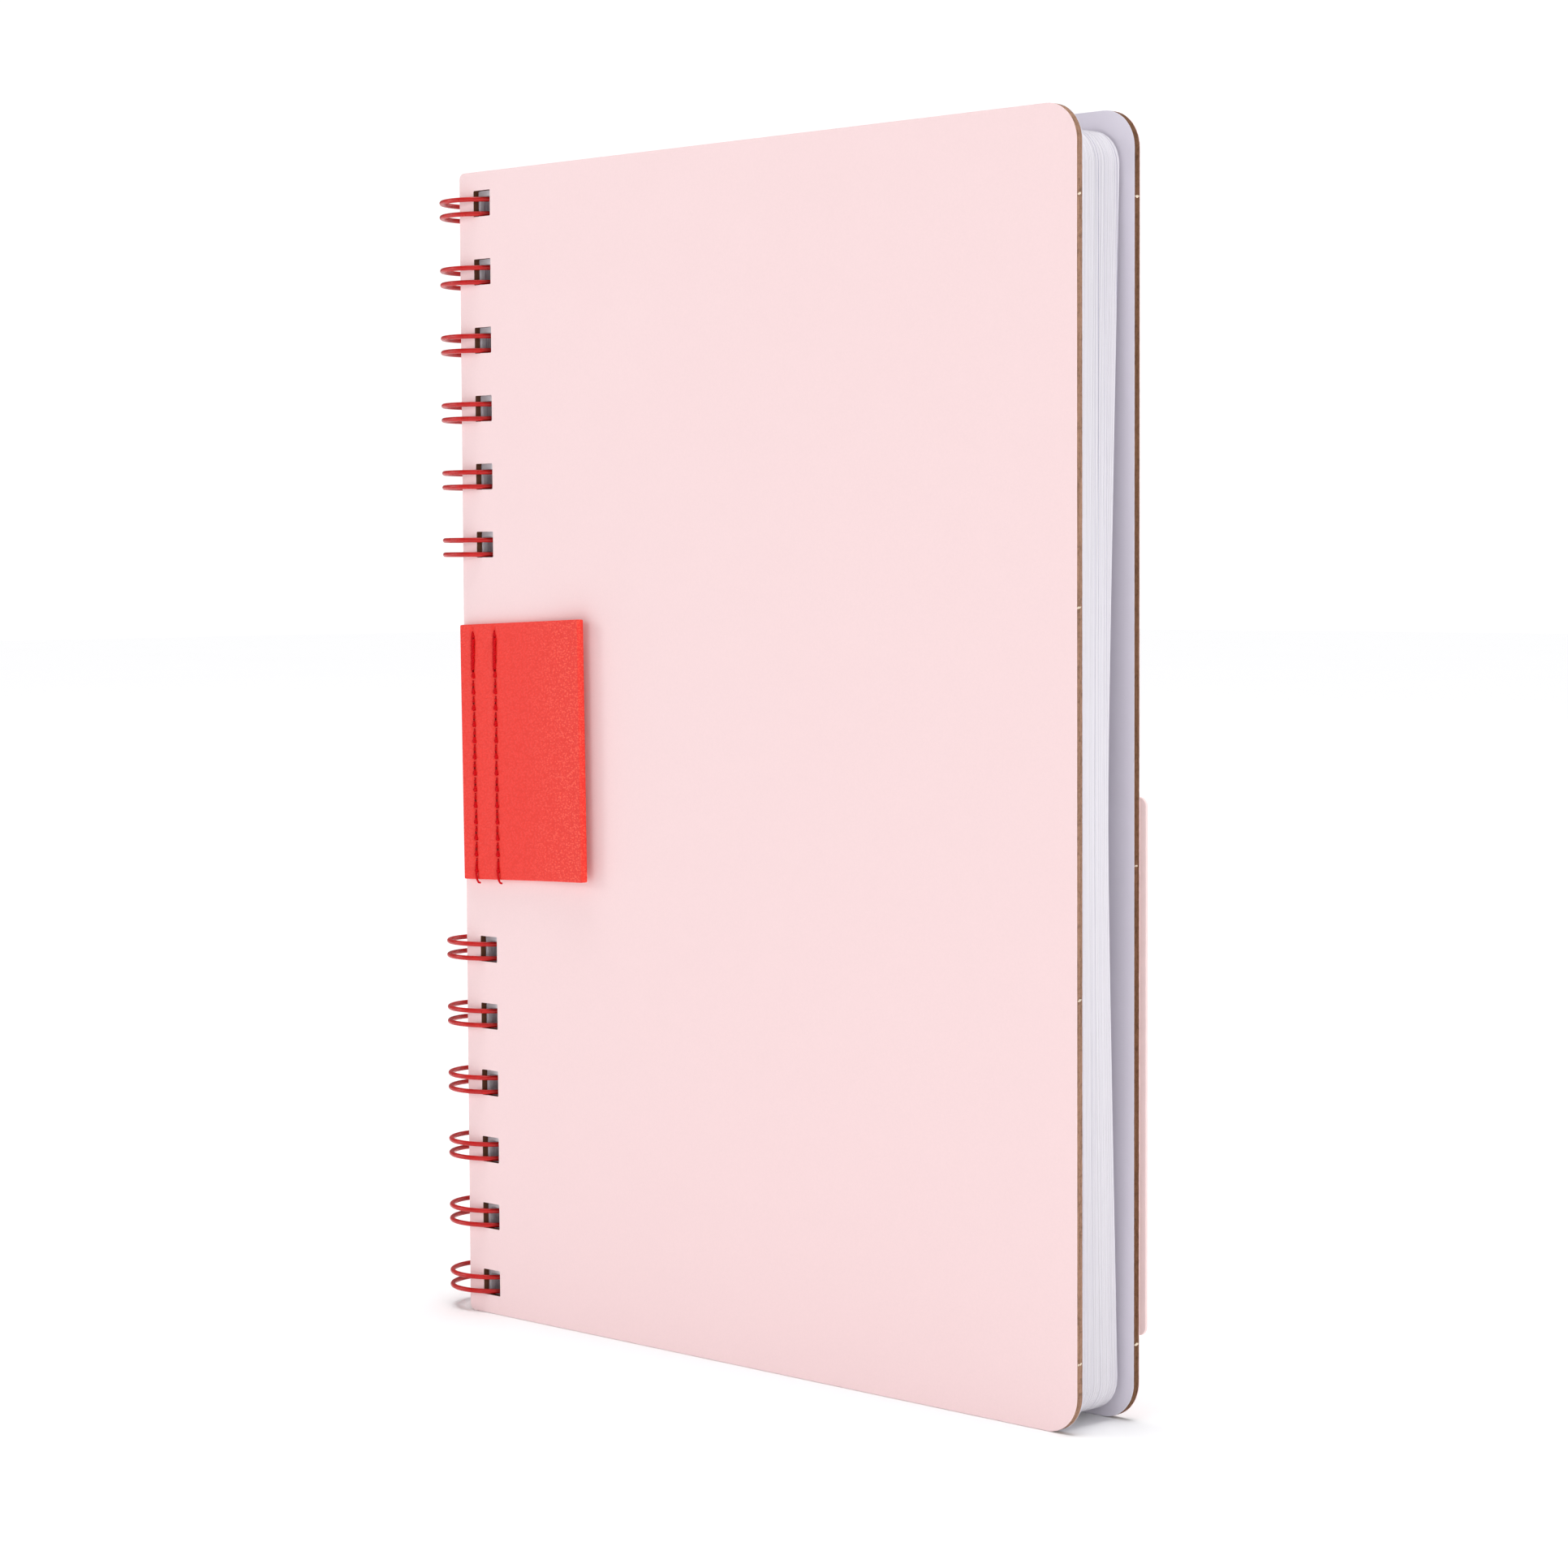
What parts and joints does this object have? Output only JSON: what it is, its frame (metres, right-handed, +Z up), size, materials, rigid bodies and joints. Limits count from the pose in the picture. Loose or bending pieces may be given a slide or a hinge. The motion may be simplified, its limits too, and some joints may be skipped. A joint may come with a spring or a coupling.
{
  "type": "twin-loop wire-bound notebook",
  "caption": "Wire-bound notebook with stiff round-cornered covers that turn about the spine wire, and a stitched leather tab for a pen's clip.",
  "frame": {"origin": "bottom centre of the closed notebook's bounding box, on the surface that it stands on", "axes": "+Z up along the spine, +X from the spine to the fore-edge, -Y out of the front cover"},
  "size_m": [0.1614, 0.0196, 0.215],
  "materials": {
    "cover_paper": "matte, pale pink",
    "greyboard": "raw brown cut edge",
    "lining_paper": "matte, pale grey",
    "card": "matte, dusty pink",
    "leather": "fine-grained, coral red",
    "thread": "twisted thread, dark red",
    "coated_wire": "red nylon coating, semi-gloss",
    "sheets": "matte white"
  },
  "bodies": {
    "back_cover": {"back_cover_lining": "lining_paper", "back_cover_board": "greyboard", "back_cover_facing": "cover_paper", "back_card": "card", "upper_wire": "coated_wire", "lower_wire": "coated_wire"},
    "pack_08": {"page_pack_08": "sheets"},
    "pack_07": {"page_pack_07": "sheets"},
    "pack_06": {"page_pack_06": "sheets"},
    "pack_05": {"page_pack_05": "sheets"},
    "pack_04": {"page_pack_04": "sheets"},
    "pack_03": {"page_pack_03": "sheets"},
    "pack_02": {"page_pack_02": "sheets"},
    "pack_01": {"page_pack_01": "sheets"},
    "front_cover": {"front_cover_facing": "cover_paper", "front_cover_board": "greyboard", "front_cover_lining": "lining_paper", "pen_tab": "leather", "stitch_row_spine": "thread", "stitch_row_inner": "thread"}
  },
  "joints": [
    {"name": "pack_08_turn", "type": "hinge", "parent": "back_cover", "child": "pack_08", "pos_m": [-0.07167, 0.00009, 0], "axis": [0, 0, -1], "range_deg": [0, 180]},
    {"name": "pack_07_turn", "type": "hinge", "parent": "pack_08", "child": "pack_07", "pos_m": [-0.07167, 0.00009, 0], "axis": [0, 0, -1], "range_deg": [0, 180]},
    {"name": "pack_06_turn", "type": "hinge", "parent": "pack_07", "child": "pack_06", "pos_m": [-0.07167, 0.00009, 0], "axis": [0, 0, -1], "range_deg": [0, 180]},
    {"name": "pack_05_turn", "type": "hinge", "parent": "pack_06", "child": "pack_05", "pos_m": [-0.07167, 0.00009, 0], "axis": [0, 0, -1], "range_deg": [0, 180]},
    {"name": "pack_04_turn", "type": "hinge", "parent": "pack_05", "child": "pack_04", "pos_m": [-0.07167, 0.00009, 0], "axis": [0, 0, -1], "range_deg": [0, 180]},
    {"name": "pack_03_turn", "type": "hinge", "parent": "pack_04", "child": "pack_03", "pos_m": [-0.07167, 0.00009, 0], "axis": [0, 0, -1], "range_deg": [0, 180]},
    {"name": "pack_02_turn", "type": "hinge", "parent": "pack_03", "child": "pack_02", "pos_m": [-0.07167, 0.00009, 0], "axis": [0, 0, -1], "range_deg": [0, 180]},
    {"name": "pack_01_turn", "type": "hinge", "parent": "pack_02", "child": "pack_01", "pos_m": [-0.07167, 0.00009, 0], "axis": [0, 0, -1], "range_deg": [0, 180]},
    {"name": "front_cover_turn", "type": "hinge", "parent": "pack_01", "child": "front_cover", "pos_m": [-0.07167, 0.00009, 0], "axis": [0, 0, -1], "range_deg": [0, 180]}
  ]
}
